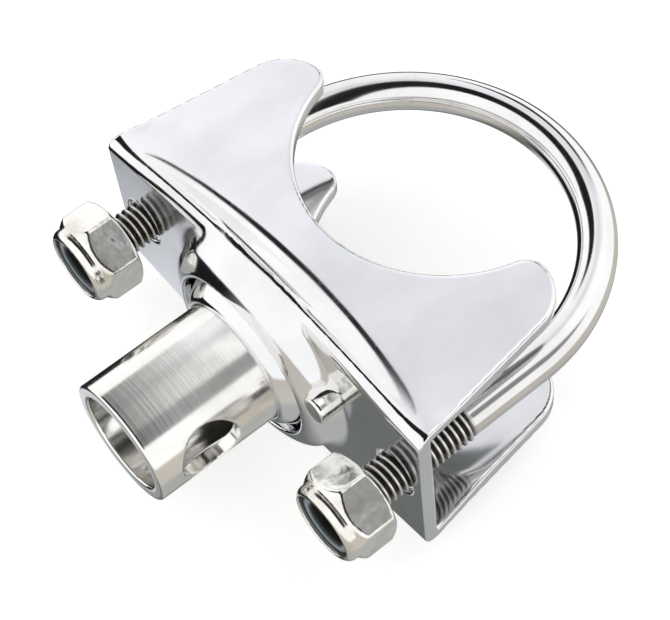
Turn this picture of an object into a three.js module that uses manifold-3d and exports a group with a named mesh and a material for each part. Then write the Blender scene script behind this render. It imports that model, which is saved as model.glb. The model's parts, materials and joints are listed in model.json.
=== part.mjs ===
// A stainless U-bolt clamp fitting with a swivelling pin socket, for a round stanchion or rail.
// Millimetres, +Z up. The clamped tube stands along Z at the origin, the U-bolt's bow is towards +Y
// and the socket points to -Y. Inside "fitting" the same axes start at the web's outer face.
import * as THREE from "three";
import { mergeVertices } from "three/addons/utils/BufferGeometryUtils.js";
import Module from "manifold-3d";

const wasm = await Module();
wasm.setup();

// Driving dimensions
const FIT_GAP = 0.3; // clearance between pieces that touch
const SEAT_RADIUS = 16.5; // tube cut-outs of the flanges
const SEAT_CENTRE = 26.5; // clamped tube's axis, from the web's outer face
const LEG_SPACING = 43;
const LEG_X = LEG_SPACING / 2;

const SHEET = 1.8;
const SADDLE_HALF_HEIGHT = 10.1;
const SADDLE_HALF_WIDTH = 25.9;
const SADDLE_TAPER = 0.14; // inward slope of each side edge
const EAR_TIP = 23.6;
const EAR_TIP_X = 18.4; // where the ear's top is level
const EAR_SIDE_END = 18.6; // where the straight side edge starts to round
const EAR_SIDE_PULL = 3; // how far the outer rounding follows the side edge and the top
const EAR_SEAT_START = 22.4; // where the ear's inner rounding meets the tube cut-out
const EAR_SEAT_PULL = 1.1;
const BEND_RADIUS = 2.0; // outer radius of the web-to-flange bend
const SWELL = 3.6; // extra half height of the web where the cup is drawn
const SWELL_FULL = 0.8; // depth up to which the swell is full
const SWELL_END = 5; // depth at which the flange is flat again
const LEG_HOLE_RADIUS = 2.75;

const ROD_RADIUS = 2.2;
const THREAD_RADIUS = 2.4;
const BOW_CENTRE = 19.1;
const THREAD_START = 9.4; // inner end of the thread
const TIP_RADIUS = 2.0;
const TIP_START = -4.2;
const TIP_END = -7.2;

const NUT_BACK = -3.7;
const NUT_HEX_END = -8.1;
const NUT_FRONT = -9.7;
const NUT_ACROSS_FLATS = 9.5;
const NUT_COLLAR_RADIUS = 4.55;
const NUT_BORE_RADIUS = 2.7;
const NUT_POCKET_RADIUS = 3.85;
const NUT_POCKET_FLOOR = -7.7;
const NUT_TURN = (8 * Math.PI) / 180;
const INSERT_RADIUS = 3.55;
const INSERT_BORE_RADIUS = 2.35;
const INSERT_BACK = -8.0;
const INSERT_FRONT = -9.2;

const SWIVEL_CENTRE = 4; // common centre of cup, ball, seat and button, from the web's outer face
const BALL_RADIUS = 11.2;
const CUP_RADIUS = BALL_RADIUS + FIT_GAP;
const CUP_MOUTH_RADIUS = 9.8;
const CUP_RIM = -3.1;
const CUP_BASE_RADIUS = 13.8;
const CUP_FLANK = [
  [10.5, CUP_RIM],
  [11.3, -2.9],
  [12.1, -2.3],
  [12.9, -1.4],
  [13.5, -0.5],
  [CUP_BASE_RADIUS, 0.5],
]; // radius and depth down the outside of the cup
const CUP_MOUTH_FLARE = 0.2; // widening of the mouth at the rim
const CAVITY_END = 2.2; // depth of the cup's hollow, just behind the web
const BALL_BACK = 0;
const BALL_FRONT = -4.0;

const SOCKET_RADIUS = 7.25;
const SOCKET_BORE_RADIUS = 5.7;
const SOCKET_MOUTH = -19.0;
const SOCKET_FLOOR = -3.6;
const SOCKET_CHAMFER = 0.3;
const PIN_HOLE_RADIUS = 3.7;
const PIN_HOLE_CENTRE = -12.4;

const SEAT_CAP_OUTER = 5.7;
const SEAT_CAP_INNER = 4.5;
const SEAT_CAP_BACK = 1.0;
const BUTTON_RADIUS = 4.2;
const BUTTON_SHANK_RADIUS = 1.7;
const BUTTON_TAIL_RADIUS = 2.8;
const BUTTON_TAIL_HEIGHT = 1;
const PLATE_FRONT = SHEET + FIT_GAP;
const PLATE_THICKNESS = 1.2;
const PLATE_BACK = PLATE_FRONT + PLATE_THICKNESS;
const PLATE_HALF_WIDTH = 14.9;
const PLATE_HALF_HEIGHT = 7.6;
const PLATE_CORNER = 2.5;

const PIN_X = 12.35;
const PIN_Z = 3.65;
const PIN_RADIUS = 1.1;
const PIN_HEAD_RADIUS = 1.6;
const PIN_HEAD_TOP = -2.9;
const PIN_HEAD_BASE = -1.0;
const PIN_TAIL_HEIGHT = 0.8;

const CHAMFER = 0.4; // small edge break of turned pieces
const BEYOND = 2; // how far cutting solids run past what they cut
const FINE = 36; // segments round the swivel pieces
const MEDIUM = 24; // segments round nuts, rings and holes
const COARSE = 12; // segments round the locking pin
const ARC_STEPS = 4;
const WELD_DISTANCE = 1e-4; // corners closer than this are one corner

// Materials
const polished = new THREE.MeshStandardMaterial({ color: 0xd9dbde, roughness: 0.12, metalness: 1 });
const turned = new THREE.MeshStandardMaterial({ color: 0xcfd0d0, roughness: 0.28, metalness: 1 });
const plated = new THREE.MeshStandardMaterial({ color: 0xc9c7c0, roughness: 0.2, metalness: 1 });
const nylon = new THREE.MeshStandardMaterial({ color: 0x5d6b78, roughness: 0.55, metalness: 0 });
const darkNylon = new THREE.MeshStandardMaterial({ color: 0x2c2d2f, roughness: 0.6, metalness: 0 });

// A closed three.js geometry as a manifold-3d solid.
function solid(geometry) {
  const bare = geometry.clone();
  bare.deleteAttribute("normal");
  bare.deleteAttribute("uv");
  const merged = mergeVertices(bare, WELD_DISTANCE);
  const mesh = new wasm.Mesh({
    numProp: 3,
    vertProperties: new Float32Array(merged.attributes.position.array),
    triVerts: new Uint32Array(merged.index.array),
  });
  return new wasm.Manifold(mesh);
}

// A finished solid as a named mesh.
function piece(name, made, material) {
  const result = made.getMesh();
  const geometry = new THREE.BufferGeometry();
  geometry.setAttribute("position", new THREE.BufferAttribute(new Float32Array(result.vertProperties), 3));
  geometry.setIndex(new THREE.BufferAttribute(new Uint32Array(result.triVerts), 1));
  geometry.computeVertexNormals();
  const mesh = new THREE.Mesh(geometry, material);
  mesh.name = name;
  return mesh;
}

// A solid turned about Y from [radius, y] corners; a profile off the axis is closed on itself.
function turnedSolid(corners, segments) {
  const points = corners.map(([radius, y]) => new THREE.Vector2(radius, y));
  const onAxis = corners[0][0] === 0;
  if (!onAxis) points.push(points[0].clone());
  return solid(new THREE.LatheGeometry(points, segments));
}

// Points of a circle about the swivel centre, between two distances from the web's outer face.
function sphereArc(radius, fromY, toY, steps) {
  const start = Math.acos((SWIVEL_CENTRE - fromY) / radius);
  const end = Math.acos((SWIVEL_CENTRE - toY) / radius);
  const points = [];
  for (let i = 0; i <= steps; i += 1) {
    const angle = start + ((end - start) * i) / steps;
    points.push([radius * Math.sin(angle), SWIVEL_CENTRE - radius * Math.cos(angle)]);
  }
  return points;
}

// A cylinder along Y at (x, z).
function pinAlongY(radius, fromY, toY, x, z, segments) {
  const geometry = new THREE.CylinderGeometry(radius, radius, toY - fromY, segments);
  geometry.translate(x, (fromY + toY) / 2, z);
  return solid(geometry);
}

// Channel section across the web: outer line, then the inner line back.
function channelSection() {
  const outer = SADDLE_HALF_HEIGHT;
  const inner = outer - SHEET;
  const far = EAR_TIP + BEYOND;
  const innerBend = BEND_RADIUS - SHEET;
  const swellSteps = 3;
  const stations = [];
  for (let i = 0; i <= swellSteps; i += 1) {
    stations.push(BEND_RADIUS + ((SWELL_END - BEND_RADIUS) * i) / swellSteps);
  }
  const inward = [...stations].reverse();
  const shape = new THREE.Shape();
  shape.moveTo(far, outer);
  inward.forEach((y) => shape.lineTo(y, outer));
  shape.absarc(BEND_RADIUS, outer - BEND_RADIUS, BEND_RADIUS, Math.PI / 2, Math.PI, false);
  shape.absarc(BEND_RADIUS, BEND_RADIUS - outer, BEND_RADIUS, Math.PI, 1.5 * Math.PI, false);
  stations.slice(1).forEach((y) => shape.lineTo(y, -outer));
  shape.lineTo(far, -outer);
  shape.lineTo(far, -inner);
  inward.forEach((y) => shape.lineTo(y, -inner));
  shape.absarc(BEND_RADIUS, BEND_RADIUS - outer, innerBend, 1.5 * Math.PI, Math.PI, true);
  shape.absarc(BEND_RADIUS, outer - BEND_RADIUS, innerBend, Math.PI, Math.PI / 2, true);
  stations.slice(1).forEach((y) => shape.lineTo(y, inner));
  shape.lineTo(far, inner);
  shape.closePath();
  return shape;
}

// Channel with its web swollen towards the middle, where the cup is drawn out of it.
function swollenChannel() {
  const width = 2 * (SADDLE_HALF_WIDTH + BEYOND);
  const geometry = new THREE.ExtrudeGeometry(channelSection(), {
    depth: width,
    steps: 12,
    curveSegments: 4,
    bevelEnabled: false,
  });
  geometry.translate(0, 0, -width / 2);
  const axes = new THREE.Matrix4().makeBasis(
    new THREE.Vector3(0, 1, 0),
    new THREE.Vector3(0, 0, 1),
    new THREE.Vector3(1, 0, 0),
  );
  geometry.applyMatrix4(axes);
  const position = geometry.attributes.position;
  for (let i = 0; i < position.count; i += 1) {
    const along = Math.min(1, Math.abs(position.getX(i)) / SADDLE_HALF_WIDTH);
    const depth = THREE.MathUtils.smoothstep(position.getY(i), SWELL_FULL, SWELL_END);
    const swell = SWELL * (1 - along * along) * (1 - depth);
    position.setZ(i, position.getZ(i) * (1 + swell / SADDLE_HALF_HEIGHT));
  }
  return solid(geometry);
}

// Outline of the flanges seen along Z: sloping side edges, rounded ears, tube cut-out.
function flangeOutline() {
  const sideX = SADDLE_HALF_WIDTH - SADDLE_TAPER * EAR_SIDE_END;
  const sidePullX = sideX - SADDLE_TAPER * EAR_SIDE_PULL;
  const sidePullY = EAR_SIDE_END + EAR_SIDE_PULL;
  const topPullX = EAR_TIP_X + EAR_SIDE_PULL;
  const cutAngle = Math.asin((EAR_SEAT_START - SEAT_CENTRE) / SEAT_RADIUS);
  const cutX = SEAT_RADIUS * Math.cos(cutAngle);
  const innerPullX = EAR_TIP_X - EAR_SEAT_PULL;
  const cutPullX = cutX - EAR_SEAT_PULL * Math.sin(cutAngle);
  const cutPullY = EAR_SEAT_START + EAR_SEAT_PULL * Math.cos(cutAngle);
  const shape = new THREE.Shape();
  shape.moveTo(-SADDLE_HALF_WIDTH, -BEYOND);
  shape.lineTo(SADDLE_HALF_WIDTH, -BEYOND);
  shape.lineTo(SADDLE_HALF_WIDTH, 0);
  shape.lineTo(sideX, EAR_SIDE_END);
  shape.bezierCurveTo(sidePullX, sidePullY, topPullX, EAR_TIP, EAR_TIP_X, EAR_TIP);
  shape.bezierCurveTo(innerPullX, EAR_TIP, cutPullX, cutPullY, cutX, EAR_SEAT_START);
  shape.absarc(0, SEAT_CENTRE, SEAT_RADIUS, cutAngle, -Math.PI - cutAngle, true);
  shape.bezierCurveTo(-cutPullX, cutPullY, -innerPullX, EAR_TIP, -EAR_TIP_X, EAR_TIP);
  shape.bezierCurveTo(-topPullX, EAR_TIP, -sidePullX, sidePullY, -sideX, EAR_SIDE_END);
  shape.lineTo(-SADDLE_HALF_WIDTH, 0);
  shape.closePath();
  const height = 4 * SADDLE_HALF_HEIGHT;
  const geometry = new THREE.ExtrudeGeometry(shape, {
    depth: height,
    curveSegments: 9,
    bevelEnabled: false,
  });
  geometry.translate(0, 0, -height / 2);
  return solid(geometry);
}

function saddleBracket() {
  const cupOuter = [[0, CUP_RIM], ...CUP_FLANK, [CUP_BASE_RADIUS, SHEET], [0, SHEET]];
  const mouthY = SWIVEL_CENTRE - Math.sqrt(CUP_RADIUS ** 2 - CUP_MOUTH_RADIUS ** 2);
  const flare = CUP_MOUTH_RADIUS + CUP_MOUTH_FLARE;
  const cavity = [
    [0, CUP_RIM - 1],
    [flare + 1, CUP_RIM - 1],
    [flare, CUP_RIM],
    ...sphereArc(CUP_RADIUS, mouthY, CAVITY_END, ARC_STEPS),
    [0, CAVITY_END],
  ];
  const pinHole = PIN_RADIUS + FIT_GAP;
  const headHole = PIN_HEAD_RADIUS + FIT_GAP;
  const headSeat = PIN_HEAD_BASE + FIT_GAP;
  const front = CUP_RIM - BEYOND;
  const back = SHEET + BEYOND;
  let body = swollenChannel().intersect(flangeOutline());
  body = body.add(turnedSolid(cupOuter, FINE));
  body = body.subtract(turnedSolid(cavity, FINE));
  body = body.subtract(pinAlongY(LEG_HOLE_RADIUS, front, back, LEG_X, 0, MEDIUM));
  body = body.subtract(pinAlongY(LEG_HOLE_RADIUS, front, back, -LEG_X, 0, MEDIUM));
  body = body.subtract(pinAlongY(pinHole, front, back, PIN_X, PIN_Z, COARSE));
  return body.subtract(pinAlongY(headHole, front, headSeat, PIN_X, PIN_Z, COARSE));
}

// Centre line of the rod: straight leg, half-circle bow, straight leg.
class BoltLine extends THREE.Curve {
  constructor(legEnd) {
    super();
    this.straight = BOW_CENTRE - legEnd;
    this.legEnd = legEnd;
    this.bow = Math.PI * LEG_X;
  }

  getPoint(t, target = new THREE.Vector3()) {
    const travel = t * (2 * this.straight + this.bow);
    if (travel <= this.straight) return target.set(LEG_X, this.legEnd + travel, 0);
    const past = travel - this.straight - this.bow;
    if (past >= 0) return target.set(-LEG_X, BOW_CENTRE - past, 0);
    const angle = (travel - this.straight) / LEG_X;
    return target.set(LEG_X * Math.cos(angle), BOW_CENTRE + LEG_X * Math.sin(angle), 0);
  }
}

function uBolt() {
  const section = new THREE.Shape();
  section.absarc(0, 0, ROD_RADIUS, 0, 2 * Math.PI, false);
  const geometry = new THREE.ExtrudeGeometry(section, {
    steps: 32,
    curveSegments: 9,
    bevelEnabled: false,
    extrudePath: new BoltLine(THREAD_START - 1),
  });
  const legProfile = [
    [0, TIP_END],
    [TIP_RADIUS - CHAMFER, TIP_END],
    [TIP_RADIUS, TIP_END + CHAMFER],
    [TIP_RADIUS, TIP_START],
    [THREAD_RADIUS, TIP_START + CHAMFER],
    [THREAD_RADIUS, THREAD_START],
    [0, THREAD_START],
  ];
  const leg = turnedSolid(legProfile, MEDIUM);
  const rightLeg = leg.translate([LEG_X, 0, 0]);
  const leftLeg = leg.translate([-LEG_X, 0, 0]);
  return solid(geometry).add(rightLeg).add(leftLeg);
}

// Hex lock nut: chamfered hexagon, round collar, pocket for the ring.
function nut() {
  const corner = NUT_ACROSS_FLATS / Math.sqrt(3);
  const flat = NUT_ACROSS_FLATS / 2;
  const hexagon = new THREE.CylinderGeometry(corner, corner, NUT_BACK - NUT_FRONT, 6);
  hexagon.rotateY(NUT_TURN);
  hexagon.translate(0, (NUT_BACK + NUT_FRONT) / 2, 0);
  const envelope = [
    [NUT_BORE_RADIUS, NUT_BACK],
    [NUT_BORE_RADIUS, NUT_POCKET_FLOOR],
    [NUT_POCKET_RADIUS, NUT_POCKET_FLOOR],
    [NUT_POCKET_RADIUS, NUT_FRONT],
    [NUT_COLLAR_RADIUS - CHAMFER, NUT_FRONT],
    [NUT_COLLAR_RADIUS, NUT_FRONT + CHAMFER],
    [NUT_COLLAR_RADIUS, NUT_HEX_END - CHAMFER],
    [flat, NUT_HEX_END],
    [corner, NUT_HEX_END + 2 * CHAMFER],
    [corner, NUT_BACK - CHAMFER],
    [flat, NUT_BACK],
  ];
  return turnedSolid(envelope, MEDIUM).intersect(solid(hexagon));
}

function nutInsert() {
  const ring = [
    [INSERT_BORE_RADIUS, INSERT_BACK],
    [INSERT_BORE_RADIUS, INSERT_FRONT],
    [INSERT_RADIUS, INSERT_FRONT],
    [INSERT_RADIUS, INSERT_BACK],
  ];
  return turnedSolid(ring, MEDIUM);
}

// Ball ring of the swivel, a zone of the ball with the socket's seat bored through it.
function ballCollar() {
  const bore = SOCKET_RADIUS + FIT_GAP;
  const zone = sphereArc(BALL_RADIUS, BALL_FRONT, BALL_BACK, ARC_STEPS);
  return turnedSolid([...zone, [bore, BALL_BACK], [bore, BALL_FRONT]], FINE);
}

// Socket tube: blind bore towards -Y, cross hole for a pin, hollow at the back for the seat.
function socketTube() {
  const hollow = SEAT_CAP_OUTER + FIT_GAP;
  const hollowBottom = SWIVEL_CENTRE - hollow;
  const profile = [
    [0, SOCKET_FLOOR],
    [SOCKET_BORE_RADIUS, SOCKET_FLOOR],
    [SOCKET_BORE_RADIUS, SOCKET_MOUTH + SOCKET_CHAMFER],
    [SOCKET_BORE_RADIUS + SOCKET_CHAMFER, SOCKET_MOUTH],
    [SOCKET_RADIUS - SOCKET_CHAMFER, SOCKET_MOUTH],
    [SOCKET_RADIUS, SOCKET_MOUTH + SOCKET_CHAMFER],
    [SOCKET_RADIUS, BALL_BACK],
    ...sphereArc(hollow, BALL_BACK, hollowBottom, ARC_STEPS).slice(0, -1),
    [0, hollowBottom],
  ];
  const across = 2 * (SOCKET_RADIUS + BEYOND);
  const drill = new THREE.CylinderGeometry(PIN_HOLE_RADIUS, PIN_HOLE_RADIUS, across, MEDIUM);
  drill.rotateZ(Math.PI / 2);
  drill.translate(0, PIN_HOLE_CENTRE, 0);
  return turnedSolid(profile, FINE).subtract(solid(drill));
}

// Nylon cap that floats between the button and the socket's hollow.
function seatCap() {
  const outerTip = SWIVEL_CENTRE - SEAT_CAP_OUTER;
  const innerTip = SWIVEL_CENTRE - SEAT_CAP_INNER;
  const outer = sphereArc(SEAT_CAP_OUTER, outerTip, SEAT_CAP_BACK, ARC_STEPS).slice(1);
  const inner = sphereArc(SEAT_CAP_INNER, innerTip, SEAT_CAP_BACK, ARC_STEPS).slice(1).reverse();
  return turnedSolid([[0, outerTip], ...outer, ...inner, [0, innerTip]], MEDIUM);
}

// Round-nosed button riveted through the retainer plate.
function pivotButton() {
  const nose = SWIVEL_CENTRE - BUTTON_RADIUS;
  const shoulder = PLATE_FRONT - FIT_GAP;
  const arc = sphereArc(BUTTON_RADIUS, nose, shoulder, ARC_STEPS).slice(1);
  const tailFront = PLATE_BACK + FIT_GAP;
  const tailBack = tailFront + BUTTON_TAIL_HEIGHT;
  const tail = [
    [BUTTON_SHANK_RADIUS, shoulder],
    [BUTTON_SHANK_RADIUS, tailFront],
    [BUTTON_TAIL_RADIUS, tailFront],
    [BUTTON_TAIL_RADIUS - CHAMFER, tailBack],
    [0, tailBack],
  ];
  return turnedSolid([[0, nose], ...arc, ...tail], MEDIUM);
}

// Plate behind the web that carries the button.
function retainerPlate() {
  const x = PLATE_HALF_WIDTH - PLATE_CORNER;
  const z = PLATE_HALF_HEIGHT - PLATE_CORNER;
  const shape = new THREE.Shape();
  shape.absarc(x, z, PLATE_CORNER, 0, Math.PI / 2, false);
  shape.absarc(-x, z, PLATE_CORNER, Math.PI / 2, Math.PI, false);
  shape.absarc(-x, -z, PLATE_CORNER, Math.PI, 1.5 * Math.PI, false);
  shape.absarc(x, -z, PLATE_CORNER, 1.5 * Math.PI, 2 * Math.PI, false);
  shape.closePath();
  const geometry = new THREE.ExtrudeGeometry(shape, {
    depth: PLATE_THICKNESS,
    curveSegments: ARC_STEPS,
    bevelEnabled: false,
  });
  geometry.rotateX(Math.PI / 2);
  geometry.translate(0, PLATE_BACK, 0);
  const far = PLATE_BACK + BEYOND;
  const buttonHole = pinAlongY(BUTTON_SHANK_RADIUS + FIT_GAP, 0, far, 0, 0, MEDIUM);
  const pinHole = pinAlongY(PIN_RADIUS + FIT_GAP, 0, far, PIN_X, PIN_Z, COARSE);
  return solid(geometry).subtract(buttonHole).subtract(pinHole);
}

// Locking pin of the retainer plate: head on the cup's flank, shank, formed tail on the plate.
function lockPin() {
  const tailFront = PLATE_BACK + FIT_GAP;
  const tailBack = tailFront + PIN_TAIL_HEIGHT;
  const profile = [
    [0, PIN_HEAD_TOP],
    [PIN_HEAD_RADIUS - CHAMFER, PIN_HEAD_TOP],
    [PIN_HEAD_RADIUS, PIN_HEAD_TOP + CHAMFER],
    [PIN_HEAD_RADIUS, PIN_HEAD_BASE],
    [PIN_RADIUS, PIN_HEAD_BASE],
    [PIN_RADIUS, tailFront],
    [PIN_HEAD_RADIUS, tailFront],
    [PIN_HEAD_RADIUS - CHAMFER, tailBack],
    [0, tailBack],
  ];
  return turnedSolid(profile, COARSE);
}

const fitting = new THREE.Group();
fitting.position.y = -SEAT_CENTRE;
fitting.add(piece("saddle_bracket", saddleBracket(), polished));
fitting.add(piece("u_bolt", uBolt(), polished));
fitting.add(piece("ball_collar", ballCollar(), polished));
fitting.add(piece("socket_tube", socketTube(), turned));
fitting.add(piece("seat_cap", seatCap(), darkNylon));
fitting.add(piece("pivot_button", pivotButton(), plated));
fitting.add(piece("retainer_plate", retainerPlate(), plated));
const pin = piece("lock_pin", lockPin(), plated);
pin.position.set(PIN_X, 0, PIN_Z);
fitting.add(pin);

const sides = [
  ["left", -1],
  ["right", 1],
];
sides.forEach(([sideName, side]) => {
  const lockNut = piece("lock_nut_" + sideName, nut(), plated);
  lockNut.position.x = side * LEG_X;
  fitting.add(lockNut);
  const insert = piece("nut_insert_" + sideName, nutInsert(), nylon);
  insert.position.x = side * LEG_X;
  fitting.add(insert);
});

const root = new THREE.Group();
root.add(fitting);

export default root;
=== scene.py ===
"""Finished looks of the U-bolt stanchion clamp: fine surfaces, steel and nylon finishes, a small studio.

Shapes are written in millimetres in the "web frame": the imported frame's axes, with y counted from the
web's outer face. Solid pieces are distance functions (negative inside) meshed by surface_net; the
U-bolt is swept along its centre line with a real helical thread.
"""

import json
import math

import bpy
import numpy as np
from mathutils import Matrix, Vector


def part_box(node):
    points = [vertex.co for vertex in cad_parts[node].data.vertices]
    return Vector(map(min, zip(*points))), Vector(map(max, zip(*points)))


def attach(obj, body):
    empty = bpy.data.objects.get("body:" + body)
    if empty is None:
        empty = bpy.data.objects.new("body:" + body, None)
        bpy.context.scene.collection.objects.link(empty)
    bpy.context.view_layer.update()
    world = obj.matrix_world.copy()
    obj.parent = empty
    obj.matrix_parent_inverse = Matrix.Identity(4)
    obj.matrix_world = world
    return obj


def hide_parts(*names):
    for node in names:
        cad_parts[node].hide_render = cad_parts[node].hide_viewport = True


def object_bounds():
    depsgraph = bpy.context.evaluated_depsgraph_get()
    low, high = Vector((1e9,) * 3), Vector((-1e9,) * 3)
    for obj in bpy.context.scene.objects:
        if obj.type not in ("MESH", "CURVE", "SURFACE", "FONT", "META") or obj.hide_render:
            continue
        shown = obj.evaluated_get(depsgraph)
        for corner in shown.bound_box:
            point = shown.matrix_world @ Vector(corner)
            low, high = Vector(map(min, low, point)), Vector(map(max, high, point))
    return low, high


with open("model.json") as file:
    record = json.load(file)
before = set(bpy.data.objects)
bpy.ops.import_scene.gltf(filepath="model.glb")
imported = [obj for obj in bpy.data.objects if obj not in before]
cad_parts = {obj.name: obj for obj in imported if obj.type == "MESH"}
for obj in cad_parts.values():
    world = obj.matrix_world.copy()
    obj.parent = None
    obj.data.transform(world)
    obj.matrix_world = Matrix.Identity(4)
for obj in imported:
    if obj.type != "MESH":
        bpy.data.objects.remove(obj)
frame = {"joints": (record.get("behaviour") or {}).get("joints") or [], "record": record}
cad_low, cad_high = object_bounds()

MM = 0.001

# ---------------------------------------------------------------- dimensions, from the frame


def box_mm(node):
    """Lowest and highest corner of a CAD node, in millimetres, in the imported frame."""
    low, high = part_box(node)
    return np.array(low) / MM, np.array(high) / MM


joints = {joint["name"]: joint for joint in frame["joints"]}
saddle_low, saddle_high = box_mm("saddle_bracket")
bolt_low, bolt_high = box_mm("u_bolt")
nut_low, nut_high = box_mm("lock_nut_right")
socket_low, socket_high = box_mm("socket_tube")
ball_low, ball_high = box_mm("ball_collar")
plate_low, plate_high = box_mm("retainer_plate")
pin_low, pin_high = box_mm("lock_pin")

SWIVEL = 4.0  # swivel centre, behind the web's outer face
WEB_Y = joints["swivel_tilt_up_down"]["pos_m"][1] / MM - SWIVEL

SHEET = 1.8
SEAT_RADIUS = 16.5
SEAT_CENTRE = -WEB_Y
HALF_WIDTH = saddle_high[0]
HALF_HEIGHT = 10.1
TAPER = 0.14  # inward slope of the flanges' side edges
EAR_TIP = saddle_high[1] - WEB_Y
EAR_RADIUS = 4.8
EAR_INNER_RADIUS = 1.9
BEND = 1.9
SWELL = 3.6
SWELL_FULL = 0.7
LIP_END = 5.0  # depth at which the swollen lip runs out on the flange, in the middle
LIP_END_FALL = 3.2  # how much shallower it is at the side edges
LIP_FILLET = 0.9
LIP_EASE = 0.6
EDGE = 0.3  # rounding of the sheet's cut edges

LEG_X = abs(joints["nut_right_turn"]["pos_m"][0]) / MM
LEG_HOLE = 2.75
LEG_HOLE_EDGE = 0.2
THREAD_RADIUS = bolt_high[0] - LEG_X
ROD_RADIUS = 2.2
BOW_CENTRE = bolt_high[1] - ROD_RADIUS - LEG_X - WEB_Y
THREAD_START = 9.4
THREAD_PITCH = 0.794
THREAD_DEPTH = 0.46
TIP = bolt_low[1] - WEB_Y

CUP_RIM = saddle_low[1] - WEB_Y
CUP_BASE = saddle_high[2]
CUP_FLANK = (12.85, -1.45)  # a point of the flank, radius and y
CUP_FLANK_SLOPE = math.radians(38)
CUP_ROUNDING = 1.6
CUP_FILLET = 1.3
MOUTH_RADIUS = 9.9
MOUTH_END = -1.9
MOUTH_EDGE = 0.22
CAVITY_RADIUS = 11.5
CAVITY_END = 2.2
BALL_RADIUS = 11.2
BALL_FRONT = ball_low[1] - WEB_Y
BALL_BACK = ball_high[1] - WEB_Y
BALL_FRONT_EDGE = 0.3
BALL_BORE_EDGE = 0.12
BALL_BORE_GAP = 0.05
BACK_EDGE = 0.2  # rounding at the back of ball and socket

SOCKET_RADIUS = socket_high[0]
SOCKET_BORE = 5.7
SOCKET_MOUTH = socket_low[1] - WEB_Y
SOCKET_FLOOR = -3.6
PIN_HOLE_RADIUS = 3.7
PIN_HOLE_CENTRE = -12.4
SEAT_HOLLOW = 6.0
SOCKET_MOUTH_EDGE = 0.3
SOCKET_BORE_EDGE = 0.25
PIN_HOLE_EDGE = 0.18
SEAT_HOLLOW_EDGE = 0.15
SEAT_MIDDLE = 5.1  # radius of the middle of the seat's wall
SEAT_HALF_WALL = 0.55
SEAT_BACK = 1.0
SEAT_EDGE = 0.2

NUT_BACK = nut_high[1] - WEB_Y
NUT_FRONT = nut_low[1] - WEB_Y
NUT_HEX_END = -8.2
NUT_FLAT = 4.75
NUT_CORNER = 2 * NUT_FLAT / math.sqrt(3)
NUT_COLLAR = 4.55
NUT_BORE = 2.5
NUT_POCKET = 3.75
NUT_POCKET_FLOOR = -7.7
NUT_TURN = math.radians(8)
NUT_CORNER_EDGE = 0.25
NUT_BACK_CHAMFER = 0.5  # height of the cone that takes off the hexagon's corners
NUT_FRONT_CHAMFER = 0.8
NUT_BACK_CONE_EDGE = 0.15
NUT_FRONT_CONE_EDGE = 0.2
NUT_END_EDGE = 0.1
NUT_COLLAR_ROUNDING = 1.0
NUT_COLLAR_FILLET = 0.3
NUT_POCKET_EDGE = 0.2
NUT_BORE_EDGE = 0.15
RING_RADIUS = NUT_POCKET - 0.04
RING_FRONT = -9.15
RING_BACK = -7.8
RING_FRONT_EDGE = 0.3
RING_BACK_EDGE = 0.1
RING_BORE_EDGE = 0.45

PIN_X = (pin_low[0] + pin_high[0]) / 2
PIN_Z = (pin_low[2] + pin_high[2]) / 2
PIN_TOP = pin_low[1] - WEB_Y
PIN_TAIL = pin_high[1] - WEB_Y
PIN_RADIUS = (pin_high[0] - pin_low[0]) / 2
PLATE_FRONT = plate_low[1] - WEB_Y
PLATE_BACK = plate_high[1] - WEB_Y
PIN_TOP_EDGE = 0.35
PIN_FOOT_EDGE = 0.1
PIN_TAIL_EDGE = 0.45
PIN_TAIL_GAP = 0.02
PIN_TAIL_FOOT_EDGE = 0.05
PIN_SHOULDER = 0.5  # how much thinner the shank is than head and tail
PIN_SHANK_MIDDLE = 1
PIN_SHANK_HALF = 3
PLATE_CORNER = 2.5
PLATE_EDGE = 0.25
PLATE_BUTTON_HOLE = 1.9
PLATE_PIN_HOLE = 1.25
PLATE_HOLE_EDGE = 0.12
BUTTON_NOSE = 4.2
BUTTON_NOSE_EDGE = 0.15
BUTTON_GAP = 0.05
BUTTON_SHANK = 1.7
BUTTON_SHANK_MIDDLE = 2.5
BUTTON_SHANK_HALF = 1.5
BUTTON_DOME = 3.3
BUTTON_DOME_DEPTH = 2.1
BUTTON_TAIL = 2.7
BUTTON_TAIL_EDGE = 0.2

SHEET_STEP = 0.25  # grid steps of the meshed pieces
SWIVEL_STEP = 0.16
BUTTON_STEP = 0.14
PLATE_STEP = 0.2
FINE_STEP = 0.13
BOX_MARGIN = 0.6  # how far the grid runs past a CAD node's box
PROJECTIONS = 4  # passes that draw the corners onto the surface
NUDGE = 0.01  # step of the numeric slope

BOLT_SIDES = 56
BOW_STEPS = 121
LEG_RING_STEP = 0.08

FLOOR_HALF = 3.0  # metres
FLOOR_GAP = 0.0002

# ---------------------------------------------------------------- distance functions


def meet(a, b, radius):
    """What is inside both, with the edge between them rounded to radius."""
    corner = np.hypot(np.maximum(a + radius, 0), np.maximum(b + radius, 0))
    return np.minimum(np.maximum(a, b), -radius) + corner


def join(a, b, radius):
    """What is inside either, with a fillet of radius between them."""
    return -meet(-a, -b, radius)


def cut(a, b, radius):
    """What is inside a and outside b, with a rounded edge."""
    return meet(a, -b, radius)


def smoothstep(value, start, end):
    t = np.clip((value - start) / (end - start), 0, 1)
    return t * t * (3 - 2 * t)


def around_y(p):
    """Distance of each point from the y axis."""
    return np.hypot(p[:, 0], p[:, 2])


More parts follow.
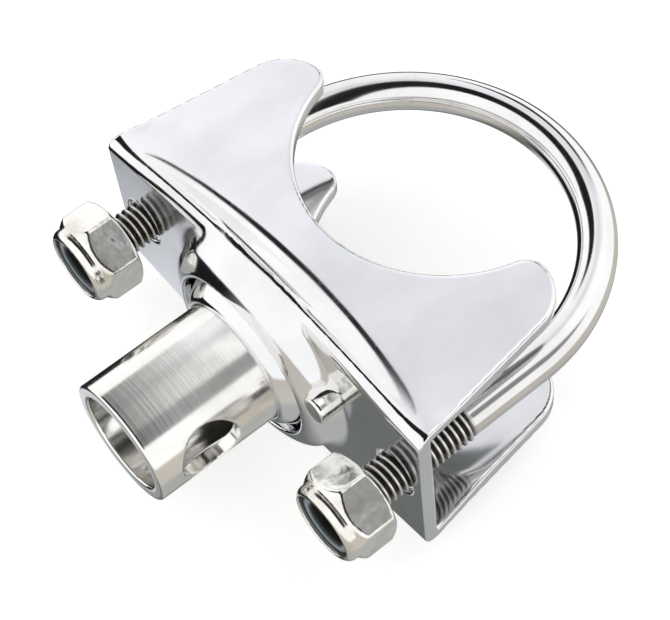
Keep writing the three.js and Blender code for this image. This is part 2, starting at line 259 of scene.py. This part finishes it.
def cup_outside(p):
    """The drawn cup without its hollow: flat rim, sloping flank, upright foot."""
    r, y = around_y(p), p[:, 1]
    normal = (math.cos(CUP_FLANK_SLOPE), -math.sin(CUP_FLANK_SLOPE))
    flank = normal[0] * (r - CUP_FLANK[0]) + normal[1] * (y - CUP_FLANK[1])
    top = meet(CUP_RIM - y, flank, CUP_ROUNDING)
    return np.maximum(meet(top, r - CUP_BASE, CUP_ROUNDING), y - SHEET / 2)


def flange_outline(p):
    """Outline seen along Z: sloping sides, rounded ears, the seat of the clamped tube."""
    x, y = np.abs(p[:, 0]), p[:, 1]
    side = (x - HALF_WIDTH + TAPER * y) / math.hypot(1, TAPER)
    ears = meet(side, y - EAR_TIP, EAR_RADIUS)
    seat = SEAT_RADIUS - np.hypot(x, y - SEAT_CENTRE)
    return meet(ears, seat, EAR_INNER_RADIUS)


def bracket(p):
    x, y, z = np.abs(p[:, 0]), p[:, 1], np.abs(p[:, 2])
    along = np.minimum(1, x / HALF_WIDTH) ** 2
    lip_end = LIP_END - LIP_END_FALL * along
    past = (y - SWELL_FULL + np.hypot(y - SWELL_FULL, LIP_EASE)) / 2
    lip = SWELL * (1 - along) * (1 - past / (lip_end - SWELL_FULL))
    steep = np.hypot(1, SWELL * (1 - along) / (lip_end - SWELL_FULL))
    side = join(z - HALF_HEIGHT, (z - HALF_HEIGHT - lip) / steep, LIP_FILLET)
    shell = meet(-y, side, BEND)
    sheet = np.maximum(shell, -shell - SHEET)
    body = meet(sheet, flange_outline(p), EDGE)
    body = join(body, cup_outside(p), CUP_FILLET)
    r = around_y(p)
    ball_hollow = np.maximum(np.hypot(r, y - SWIVEL) - CAVITY_RADIUS, y - CAVITY_END)
    mouth = np.maximum(r - MOUTH_RADIUS, y - MOUTH_END)
    body = cut(body, np.minimum(ball_hollow, mouth), MOUTH_EDGE)
    return cut(body, np.hypot(x - LEG_X, z) - LEG_HOLE, LEG_HOLE_EDGE)


def ball_collar(p):
    r, y = around_y(p), p[:, 1]
    ball = np.hypot(r, y - SWIVEL) - BALL_RADIUS
    zone = meet(meet(ball, BALL_FRONT - y, BALL_FRONT_EDGE), y - BALL_BACK, BACK_EDGE)
    return cut(zone, r - SOCKET_RADIUS - BALL_BORE_GAP, BALL_BORE_EDGE)


def socket_tube(p):
    r, y = around_y(p), p[:, 1]
    tube = meet(meet(r - SOCKET_RADIUS, SOCKET_MOUTH - y, SOCKET_MOUTH_EDGE), y - BALL_BACK, BACK_EDGE)
    bore = np.maximum(r - SOCKET_BORE, y - SOCKET_FLOOR)
    tube = cut(tube, bore, SOCKET_BORE_EDGE)
    pin_hole = np.hypot(y - PIN_HOLE_CENTRE, p[:, 2]) - PIN_HOLE_RADIUS
    tube = cut(tube, pin_hole, PIN_HOLE_EDGE)
    return cut(tube, np.hypot(r, y - SWIVEL) - SEAT_HOLLOW, SEAT_HOLLOW_EDGE)


def lock_nut(p):
    x, y, z = p.T
    r = around_y(p)
    hexagon = np.full(len(p), -NUT_FLAT)
    for side in range(6):
        angle = NUT_TURN + math.radians(30 + 60 * side)
        face = x * math.sin(angle) + z * math.cos(angle) - NUT_FLAT
        hexagon = meet(hexagon, face, NUT_CORNER_EDGE)
    rise = NUT_CORNER - NUT_FLAT
    back_cone = NUT_BACK_CHAMFER * (r - NUT_FLAT) + rise * (y - NUT_BACK)
    back_cone = back_cone / math.hypot(NUT_BACK_CHAMFER, rise)
    front_cone = NUT_FRONT_CHAMFER * (r - NUT_FLAT) - rise * (y - NUT_HEX_END)
    front_cone = front_cone / math.hypot(NUT_FRONT_CHAMFER, rise)
    body = meet(meet(hexagon, back_cone, NUT_BACK_CONE_EDGE), y - NUT_BACK, NUT_END_EDGE)
    body = meet(meet(body, front_cone, NUT_FRONT_CONE_EDGE), NUT_HEX_END - y, NUT_END_EDGE)
    collar = meet(r - NUT_COLLAR, NUT_FRONT - y, NUT_COLLAR_ROUNDING)
    collar = np.maximum(collar, y - NUT_BACK + 1)
    body = join(body, collar, NUT_COLLAR_FILLET)
    pocket = np.maximum(r - NUT_POCKET, y - NUT_POCKET_FLOOR)
    return cut(cut(body, pocket, NUT_POCKET_EDGE), r - NUT_BORE, NUT_BORE_EDGE)


def nylon_ring(p):
    r, y = around_y(p), p[:, 1]
    ring = meet(meet(r - RING_RADIUS, RING_FRONT - y, RING_FRONT_EDGE), y - RING_BACK, RING_BACK_EDGE)
    return cut(ring, r - NUT_BORE, RING_BORE_EDGE)


def lock_pin(p):
    r, y = around_y(p), p[:, 1]
    head = meet(meet(r - PIN_RADIUS, PIN_TOP - y, PIN_TOP_EDGE), y, PIN_FOOT_EDGE)
    tail = meet(r - PIN_RADIUS, y - PIN_TAIL, PIN_TAIL_EDGE)
    tail = meet(tail, PLATE_BACK + PIN_TAIL_GAP - y, PIN_TAIL_FOOT_EDGE)
    shank = np.maximum(r - PIN_RADIUS + PIN_SHOULDER, np.abs(y - PIN_SHANK_MIDDLE) - PIN_SHANK_HALF)
    return np.minimum(np.minimum(head, tail), shank)


def retainer_plate(p):
    x, y, z = np.abs(p[:, 0]), p[:, 1], np.abs(p[:, 2])
    outline = meet(x - plate_high[0], z - plate_high[2], PLATE_CORNER)
    plate = meet(meet(outline, y - PLATE_BACK, PLATE_EDGE), PLATE_FRONT - y, PLATE_EDGE)
    button_hole = np.hypot(x, z) - PLATE_BUTTON_HOLE
    pin_hole = np.hypot(p[:, 0] - PIN_X, p[:, 2] - PIN_Z) - PLATE_PIN_HOLE
    return cut(plate, np.minimum(button_hole, pin_hole), PLATE_HOLE_EDGE)


def pivot_button(p):
    r, y = around_y(p), p[:, 1]
    nose = np.hypot(r, y - SWIVEL) - BUTTON_NOSE
    nose = meet(nose, y - PLATE_FRONT + BUTTON_GAP, BUTTON_NOSE_EDGE)
    shank = np.maximum(r - BUTTON_SHANK, np.abs(y - BUTTON_SHANK_MIDDLE) - BUTTON_SHANK_HALF)
    dome = np.hypot(r, y - PLATE_BACK + BUTTON_DOME_DEPTH) - BUTTON_DOME
    tail = meet(np.maximum(dome, PLATE_BACK + BUTTON_GAP - y), r - BUTTON_TAIL, BUTTON_TAIL_EDGE)
    return np.minimum(np.minimum(nose, tail), shank)


def seat_cap(p):
    r, y = around_y(p), p[:, 1]
    distance = np.hypot(r, y - SWIVEL)
    return meet(np.abs(distance - SEAT_MIDDLE) - SEAT_HALF_WALL, y - SEAT_BACK, SEAT_EDGE)


# ---------------------------------------------------------------- meshing

CORNERS = np.array([(i, j, k) for i in (0, 1) for j in (0, 1) for k in (0, 1)])
CELL_EDGES = [
    (a, b) for a in range(8) for b in range(a + 1, 8) if np.abs(CORNERS[a] - CORNERS[b]).sum() == 1
]


def gradient(distance, points):
    slopes = []
    for axis in range(3):
        nudge = np.zeros(3)
        nudge[axis] = NUDGE
        slopes.append((distance(points + nudge) - distance(points - nudge)) / (2 * NUDGE))
    return np.stack(slopes, 1)


def surface_net(distance, low, high, step):
    """Quads over the zero surface of distance, their corners then drawn exactly onto it."""
    low, high = np.array(low, float) - 2 * step, np.array(high, float) + 2 * step
    counts = np.ceil((high - low) / step).astype(int) + 1
    axes = [low[i] + step * np.arange(counts[i]) for i in range(3)]
    values = np.empty(counts)
    for i, x in enumerate(axes[0]):
        y, z = np.meshgrid(axes[1], axes[2], indexing="ij")
        slab = np.stack([np.full(y.size, x), y.ravel(), z.ravel()], 1)
        values[i] = distance(slab).reshape(y.shape)
    inside = values < 0
    filled = np.zeros(counts - 1, int)
    for i, j, k in CORNERS:
        filled += inside[i : i + counts[0] - 1, j : j + counts[1] - 1, k : k + counts[2] - 1]
    cells = np.argwhere((filled > 0) & (filled < 8))
    corner_values = np.stack([values[tuple((cells + c).T)] for c in CORNERS], 1)
    total, hits = np.zeros((len(cells), 3)), np.zeros(len(cells))
    for a, b in CELL_EDGES:
        va, vb = corner_values[:, a], corner_values[:, b]
        crosses = (va < 0) != (vb < 0)
        share = np.where(crosses, va / np.where(crosses, va - vb, 1), 0)
        total += (CORNERS[a] + share[:, None] * (CORNERS[b] - CORNERS[a])) * crosses[:, None]
        hits += crosses
    vertices = low + step * (cells + total / hits[:, None])
    for _ in range(PROJECTIONS):
        slope = gradient(distance, vertices)
        size = np.maximum((slope**2).sum(1), 0.05)
        move = np.clip(distance(vertices) / size, -step, step)
        vertices = vertices - 0.9 * move[:, None] * slope
    number = np.full(counts - 1, -1)
    number[tuple(cells.T)] = np.arange(len(cells))
    faces = []
    for axis in range(3):
        along = np.eye(3, dtype=int)[axis]
        u, v = np.eye(3, dtype=int)[(axis + 1) % 3], np.eye(3, dtype=int)[(axis + 2) % 3]
        before = inside[tuple(slice(0, counts[i] - along[i]) for i in range(3))]
        after = inside[tuple(slice(along[i], counts[i]) for i in range(3))]
        for rising in (True, False):
            edges = np.argwhere((before != after) & (before == rising))
            ring = [edges - u - v, edges - v, edges, edges - u]
            quad = np.stack([number[tuple(c.T)] for c in ring], 1)
            faces.append(quad if rising else quad[:, ::-1])
    return vertices, np.concatenate(faces)


def place(vertices):
    """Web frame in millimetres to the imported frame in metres."""
    return (vertices + np.array([0, WEB_Y, 0])) * MM


def add_piece(name, vertices, faces, material, body, node, slot):
    """A smooth mesh that rides on a body and stands for a CAD node."""
    mesh = bpy.data.meshes.new(name)
    quads = faces.tolist() if hasattr(faces, "tolist") else faces
    mesh.from_pydata(place(vertices).tolist(), [], quads)
    mesh.shade_smooth()
    mesh.materials.append(material)
    piece = bpy.data.objects.new(name, mesh)
    bpy.context.scene.collection.objects.link(piece)
    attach(piece, body)
    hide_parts(node)
    return piece


def body_of(node):
    return next(body for body, nodes in frame["record"]["behaviour"]["bodies"].items() if node in nodes)


def add_solid(name, distance, step, material, node, slot, centre=(0, 0)):
    """The piece for a CAD node from a distance function about the axis at centre (x, z)."""
    low, high = box_mm(node)
    shift = np.array([centre[0], 0, centre[1]])
    low = low - (0, WEB_Y, 0) - shift - BOX_MARGIN
    high = high - (0, WEB_Y, 0) - shift + BOX_MARGIN
    vertices, faces = surface_net(distance, low, high, step)
    return add_piece(name, vertices + shift, faces, material, body_of(node), node, slot)


def bolt_stations():
    """Places along the rod: (centre x, centre y, outward x, outward y, leg side or 0)."""
    stations = []
    leg = list(np.arange(TIP, THREAD_START + 1, LEG_RING_STEP))
    leg += list(np.linspace(THREAD_START + 1.5, BOW_CENTRE, 12))
    stations += [(LEG_X, y, 1.0, 0.0, 1) for y in leg]
    for angle in np.linspace(0, math.pi, BOW_STEPS)[1:-1]:
        c, s = math.cos(angle), math.sin(angle)
        stations.append((LEG_X * c, BOW_CENTRE + LEG_X * s, c, s, 0))
    stations += [(-LEG_X, y, -1.0, 0.0, -1) for y in reversed(leg)]
    return stations


def thread_radius(y, turn):
    """Radius of a leg at height y, at a turn about the y axis, with a right-hand thread."""
    phase = (y / THREAD_PITCH - turn / (2 * math.pi)) % 1.0
    flank = np.clip((np.abs(2 * phase - 1) - 0.14) / 0.7, 0, 1)
    flank = flank * flank * (3 - 2 * flank) * 0.35 + flank * 0.65
    full = 1 - smoothstep(y, THREAD_START - 0.8, THREAD_START)
    crest = ROD_RADIUS + (THREAD_RADIUS - ROD_RADIUS) * full
    end = np.clip((y - TIP) / 0.5, 0, 1)
    return np.minimum(crest - THREAD_DEPTH * flank * full, THREAD_RADIUS - 0.5 * (1 - end))


def u_bolt():
    sides = BOLT_SIDES
    around = np.arange(sides) * 2 * math.pi / sides
    rings = []
    for x, y, out_x, out_y, leg in bolt_stations():
        radius = np.full(sides, ROD_RADIUS)
        if leg:
            radius = thread_radius(y, leg * around)
        wide = radius * np.sin(around)
        rings.append(np.stack([x + wide * out_x, y + wide * out_y, radius * np.cos(around)], 1))
    vertices = np.concatenate(rings)
    faces = []
    for i in range(len(rings) - 1):
        for j in range(sides):
            k = (j + 1) % sides
            faces.append((i * sides + j, i * sides + k, (i + 1) * sides + k, (i + 1) * sides + j))
    last = (len(rings) - 1) * sides
    faces.append(tuple(reversed(range(sides))))
    faces.append(tuple(range(last, last + sides)))
    return vertices, faces


# ---------------------------------------------------------------- finishes


class Shade:
    """Short calls for one material's node tree."""

    def __init__(self, name):
        self.material = bpy.data.materials.new(name)
        self.material.use_nodes = True
        self.tree = self.material.node_tree
        self.shader = self.tree.nodes["Principled BSDF"]
        self.place = self.node("ShaderNodeTexCoord").outputs["Object"]

    def node(self, kind, **settings):
        made = self.tree.nodes.new(kind)
        for key, value in settings.items():
            setattr(made, key, value)
        return made

    def put(self, socket, value):
        if isinstance(value, bpy.types.NodeSocket):
            self.tree.links.new(value, socket)
        else:
            socket.default_value = value

    def math(self, operation, *values):
        made = self.node("ShaderNodeMath", operation=operation)
        for socket, value in zip(made.inputs, values):
            self.put(socket, value)
        return made.outputs[0]

    def scaled(self, x, y, z):
        """Object coordinates times a scale, in features per metre."""
        made = self.node("ShaderNodeVectorMath", operation="MULTIPLY")
        self.put(made.inputs[0], self.place)
        made.inputs[1].default_value = (x, y, z)
        return made.outputs[0]

    def noise(self, scale, detail=3.0, roughness=0.55, distortion=0.0):
        made = self.node("ShaderNodeTexNoise")
        self.put(made.inputs["Vector"], self.scaled(*scale))
        made.inputs["Scale"].default_value = 1.0
        made.inputs["Detail"].default_value = detail
        made.inputs["Roughness"].default_value = roughness
        made.inputs["Distortion"].default_value = distortion
        return made.outputs["Fac"]

    def remap(self, value, low, high, to_low, to_high):
        made = self.node("ShaderNodeMapRange")
        for socket, given in zip(made.inputs, (value, low, high, to_low, to_high)):
            self.put(socket, given)
        return made.outputs["Result"]

    def from_leg_axis(self):
        """Distance from the nearer leg's axis, in metres."""
        split = self.node("ShaderNodeSeparateXYZ")
        self.put(split.inputs[0], self.place)
        across = self.math("SUBTRACT", self.math("ABSOLUTE", split.outputs[0]), LEG_X * MM)
        squares = self.math("ADD", self.math("POWER", across, 2), self.math("POWER", split.outputs[2], 2))
        return self.math("SQRT", squares)

    def mix(self, share, a, b):
        made = self.node("ShaderNodeMix", data_type="RGBA")
        for name, value in (("Factor", share), ("A", a), ("B", b)):
            socket = next(s for s in made.inputs if s.name == name and s.enabled)
            self.put(socket, (*value, 1) if isinstance(value, tuple) else value)
        return next(s for s in made.outputs if s.enabled)

    def bump(self, *layers):
        """Bumps from (height, distance in metres) pairs, stacked."""
        normal = None
        for height, distance in layers:
            made = self.node("ShaderNodeBump")
            made.inputs["Distance"].default_value = distance
            self.put(made.inputs["Height"], height)
            if normal is not None:
                self.put(made.inputs["Normal"], normal)
            normal = made.outputs["Normal"]
        self.put(self.shader.inputs["Normal"], normal)

    def finish(self, colour, roughness, metallic):
        self.put(self.shader.inputs["Base Color"], colour)
        self.put(self.shader.inputs["Roughness"], roughness)
        self.put(self.shader.inputs["Metallic"], metallic)
        return self.material


def polished_steel(name, tint=(0.86, 0.865, 0.88), dull=(0.74, 0.745, 0.76), smoothness=0.07):
    """Buffed stainless: slight waves of the sheet, hairlines from the buff, faint smears."""
    s = Shade(name)
    smears = s.noise((90, 60, 90), detail=4)
    hairlines = s.noise((900, 90, 5200), detail=2, roughness=0.7)
    cross_lines = s.noise((6100, 140, 700), detail=2, roughness=0.7)
    waves = s.noise((140, 140, 140), detail=1)
    grain = s.noise((7000, 7000, 7000), detail=2)
    colour = s.mix(s.remap(smears, 0.42, 0.72, 0, 1), tint, dull)
    roughness = s.remap(smears, 0.35, 0.7, smoothness, smoothness + 0.06)
    roughness = s.math("ADD", roughness, s.remap(hairlines, 0.55, 0.75, 0, 0.05))
    s.bump((waves, 0.00003), (hairlines, 0.0000008), (cross_lines, 0.0000008), (grain, 0.0000003))
    return s.finish(colour, roughness, 1.0)


def bolt_steel():
    """Bright rod, with painted shade making the thread near-black in its roots."""
    s = Shade("bolt_rod_steel")
    split = s.node("ShaderNodeSeparateXYZ")
    s.put(split.inputs[0], s.place)
    radius = s.from_leg_axis()
    # Painted shade: near the thread's root radius, within the threaded length, the colour goes near-black to
    # stand for the shade in the grooves.
    painted_root_shade = s.remap(radius, (THREAD_RADIUS - 0.34) * MM, (THREAD_RADIUS - 0.01) * MM, 1, 0)
    threaded = s.remap(split.outputs[1], (THREAD_START + WEB_Y - 0.6) * MM, (THREAD_START + WEB_Y) * MM, 1, 0)
    dark = s.math("MULTIPLY", painted_root_shade, threaded)
    smears = s.noise((120, 120, 120), detail=4)
    hairlines = s.noise((2500, 300, 2500), detail=2, roughness=0.7)
    bright = s.mix(s.remap(smears, 0.4, 0.75, 0, 1), (0.85, 0.85, 0.86), (0.72, 0.715, 0.70))
    # Mixes the painted root shade colour into the bright rod.
    colour = s.mix(dark, bright, (0.05, 0.042, 0.032))
    roughness = s.math("ADD", s.remap(smears, 0.35, 0.7, 0.09, 0.15), s.math("MULTIPLY", threaded, 0.13))
    s.bump((hairlines, 0.000001), (s.noise((160, 160, 160), detail=1), 0.00001))
    return s.finish(colour, roughness, 1.0)


def turned_steel():
    """Fine lathe marks round the y axis, over a satin surface."""
    s = Shade("turned_steel")
    rings = s.noise((25, 9000, 25), detail=2, roughness=0.75)
    coarse = s.noise((40, 2600, 40), detail=1)
    patches = s.noise((260, 160, 260), detail=4)
    colour = s.mix(s.remap(patches, 0.4, 0.7, 0, 1), (0.90, 0.895, 0.88), (0.80, 0.785, 0.755))
    roughness = s.math("ADD", s.remap(patches, 0.3, 0.75, 0.12, 0.18), s.remap(rings, 0.4, 0.7, -0.02, 0.04))
    s.bump((coarse, 0.000002), (rings, 0.0000012))
    return s.finish(colour, roughness, 1.0)


def nut_steel():
    """Cold-formed nut: bright faces with shallow dents, faint tarnish."""
    s = Shade("nut_bright_steel")
    dents = s.noise((420, 420, 420), detail=2)
    tarnish = s.noise((300, 300, 300), detail=5)
    fine = s.noise((5000, 5000, 5000), detail=2)
    colour = s.mix(s.remap(tarnish, 0.45, 0.75, 0, 1), (0.90, 0.885, 0.86), (0.72, 0.69, 0.63))
    roughness = s.remap(tarnish, 0.35, 0.75, 0.1, 0.22)
    s.bump((dents, 0.00006), (fine, 0.0000006))
    return s.finish(colour, roughness, 1.0)


def nylon(name, light, dark, paint_bore_and_rim_shade=False):
    """Moulded nylon: matt, slightly mottled, with a fine grain; on a nut's ring, painted shade darkens the
    bore and the rim.
    """
    s = Shade(name)
    mottle = s.noise((600, 600, 600), detail=4)
    grain = s.noise((9000, 9000, 9000), detail=2)
    colour = s.mix(s.remap(mottle, 0.35, 0.7, 0, 1), light, dark)
    if paint_bore_and_rim_shade:
        # Painted shade: the ring is coloured near-black at the bore and at the rim against the pocket wall,
        # where shade falls.
        radius = s.from_leg_axis()
        bore = s.remap(radius, (NUT_BORE + 0.1) * MM, (NUT_BORE + 0.35) * MM, 1, 0)
        rim = s.remap(radius, (NUT_POCKET - 0.55) * MM, (NUT_POCKET - 0.35) * MM, 0, 1)
        colour = s.mix(s.math("MAXIMUM", bore, rim), colour, (0.008, 0.009, 0.01))
    s.bump((grain, 0.000006), (mottle, 0.00001))
    return s.finish(colour, s.remap(mottle, 0.3, 0.7, 0.4, 0.55), 0.0)


# ---------------------------------------------------------------- the pieces

sheet_finish = polished_steel("polished_sheet_steel")
ball_finish = polished_steel("polished_ball_steel", smoothness=0.06)
turned_finish = turned_steel()
nut_finish = nut_steel()
slate_nylon = nylon("slate_nylon", (0.2, 0.25, 0.29), (0.13, 0.17, 0.2), paint_bore_and_rim_shade=True)
black_nylon = nylon("black_nylon", (0.03, 0.03, 0.032), (0.015, 0.015, 0.017))

add_solid("bracket", bracket, SHEET_STEP, sheet_finish, "saddle_bracket", "polished_steel")
add_piece("bolt", *u_bolt(), bolt_steel(), "bolt", "u_bolt", "bolt_steel")
add_solid("ball_ring", ball_collar, SWIVEL_STEP, ball_finish, "ball_collar", "polished_steel")
add_solid("socket", socket_tube, SWIVEL_STEP, turned_finish, "socket_tube", "turned_steel")
add_solid("seat", seat_cap, SWIVEL_STEP, black_nylon, "seat_cap", "seat_nylon")
add_solid("button", pivot_button, BUTTON_STEP, turned_finish, "pivot_button", "turned_steel")
add_solid("plate", retainer_plate, PLATE_STEP, turned_finish, "retainer_plate", "turned_steel")
for side_name, side in (("left", -1), ("right", 1)):
    axis = (side * LEG_X, 0)
    nut_node = "lock_nut_" + side_name
    add_solid("nut_" + side_name, lock_nut, FINE_STEP, nut_finish, nut_node, "nut_steel", axis)
    ring_node = "nut_insert_" + side_name
    add_solid("ring_" + side_name, nylon_ring, FINE_STEP, slate_nylon, ring_node, "insert_nylon", axis)
add_solid("pin_head", lock_pin, FINE_STEP, nut_finish, "lock_pin", "nut_steel", (PIN_X, PIN_Z))

# ---------------------------------------------------------------- studio


def floor():
    """A wide pale sheet under the clamp, kept out of the steel's reflections."""
    mesh = bpy.data.meshes.new("floor")
    height = cad_low.z - FLOOR_GAP
    signs = [(-1, -1), (1, -1), (1, 1), (-1, 1)]
    corners = [(x * FLOOR_HALF, y * FLOOR_HALF, height) for x, y in signs]
    mesh.from_pydata(corners, [], [(0, 1, 2, 3)])
    made = bpy.data.objects.new("floor", mesh)
    bpy.context.scene.collection.objects.link(made)
    s = Shade("pale_floor")
    s.shader.inputs["Emission Color"].default_value = (1, 1, 1, 1)
    s.shader.inputs["Emission Strength"].default_value = 0.5
    s.shader.inputs["Specular IOR Level"].default_value = 0.0
    made.data.materials.append(s.finish((0.86, 0.86, 0.86, 1), 0.9, 0.0))
    made.visible_glossy = False


def studio():
    """White walls, a dark band low down, a dark slot across the ceiling and a second, thin dark strip."""
    world = bpy.data.worlds.new("studio")
    bpy.context.scene.world = world
    world.use_nodes = True
    tree = world.node_tree
    tree.nodes.clear()

    def node(kind, **settings):
        made = tree.nodes.new(kind)
        for key, value in settings.items():
            setattr(made, key, value)
        return made

    def put(socket, value):
        if isinstance(value, bpy.types.NodeSocket):
            tree.links.new(value, socket)
        else:
            socket.default_value = value

    def remap(value, low, high, to_low, to_high):
        made = node("ShaderNodeMapRange")
        for socket, given in zip(made.inputs, (value, low, high, to_low, to_high)):
            put(socket, given)
        return made.outputs["Result"]

    def math_node(operation, *values):
        made = node("ShaderNodeMath", operation=operation)
        for socket, value in zip(made.inputs, values):
            put(socket, value)
        return made.outputs[0]

    def mix(share, a, b):
        made = node("ShaderNodeMix", data_type="RGBA")
        for name, value in (("Factor", share), ("A", a), ("B", b)):
            socket = next(s for s in made.inputs if s.name == name and s.enabled)
            put(socket, (*value, 1) if isinstance(value, tuple) else value)
        return next(s for s in made.outputs if s.enabled)

    split = node("ShaderNodeSeparateXYZ")
    put(split.inputs[0], node("ShaderNodeTexCoord").outputs["Generated"])
    x, y, z = split.outputs
    right_side = remap(x, -0.55, -0.1, 0, 1)
    band = mix(right_side, (0.012, 0.012, 0.012), (0.62, 0.58, 0.52))
    light = mix(remap(z, -0.24, -0.19, 0, 1), band, (1.15, 1.15, 1.14))
    below = mix(remap(x, -0.53, -0.45, 0, 1), (0.78, 0.80, 0.84), (0.16, 0.17, 0.162))
    below = mix(remap(x, -0.3, 0.0, 0, 1), below, (0.46, 0.47, 0.46))
    light = mix(remap(z, -0.82, -0.70, 1, 0), light, below)
    high = remap(z, 0.48, 0.54, 0, 1)
    back = math_node("MULTIPLY", remap(y, 0.22, 0.25, 0, 1), high)
    ceiling = mix(remap(x, -0.6, -0.4, 0, 1), (1.08, 1.09, 1.12), (0.86, 0.87, 0.895))
    ceiling = mix(remap(x, -0.34, -0.1, 0, 1), ceiling, (1.2, 1.2, 1.19))
    ceiling = mix(remap(x, 0.42, 0.52, 0, 1), ceiling, (0.28, 0.29, 0.3))
    light = mix(back, light, ceiling)
    gap = remap(math_node("ABSOLUTE", math_node("ADD", y, 0.03)), 0.23, 0.26, 1, 0)
    gap = math_node("MULTIPLY", gap, high)
    light = mix(gap, light, (0.012, 0.012, 0.012))
    crease = remap(math_node("ABSOLUTE", math_node("SUBTRACT", y, 0.72)), 0.06, 0.08, 1, 0)
    crease = math_node("MULTIPLY", crease, remap(z, 0.3, 0.34, 0, 1))
    crease = math_node("MULTIPLY", crease, remap(x, -0.36, -0.3, 1, 0))
    light = mix(crease, light, (0.012, 0.012, 0.012))
    path = node("ShaderNodeLightPath")
    seen = mix(path.outputs["Is Camera Ray"], light, (0.93, 0.93, 0.93))
    background = node("ShaderNodeBackground")
    put(background.inputs["Color"], seen)
    background.inputs["Strength"].default_value = 1.0
    put(node("ShaderNodeOutputWorld").inputs["Surface"], background.outputs[0])


def camera():
    """Looks down on the clamp from its socket side, turned about its own line of sight."""
    data = bpy.data.cameras.new("camera")
    data.sensor_width = 36.0
    data.lens = 106.18
    data.clip_start = 0.01
    data.clip_end = 20.0
    made = bpy.data.objects.new("camera", data)
    bpy.context.scene.collection.objects.link(made)
    right = Vector((0.63527, 0.76834, -0.07803)).normalized()
    back = Vector((0.47403, -0.30817, 0.82482)).normalized()
    up = back.cross(right).normalized()
    turn = Matrix((right, up, back)).transposed().to_4x4()
    made.matrix_world = Matrix.Translation((0.10253, -0.08363, 0.17460)) @ turn
    bpy.context.scene.camera = made


floor()
studio()
camera()
bpy.context.scene.view_settings.view_transform = "Standard"
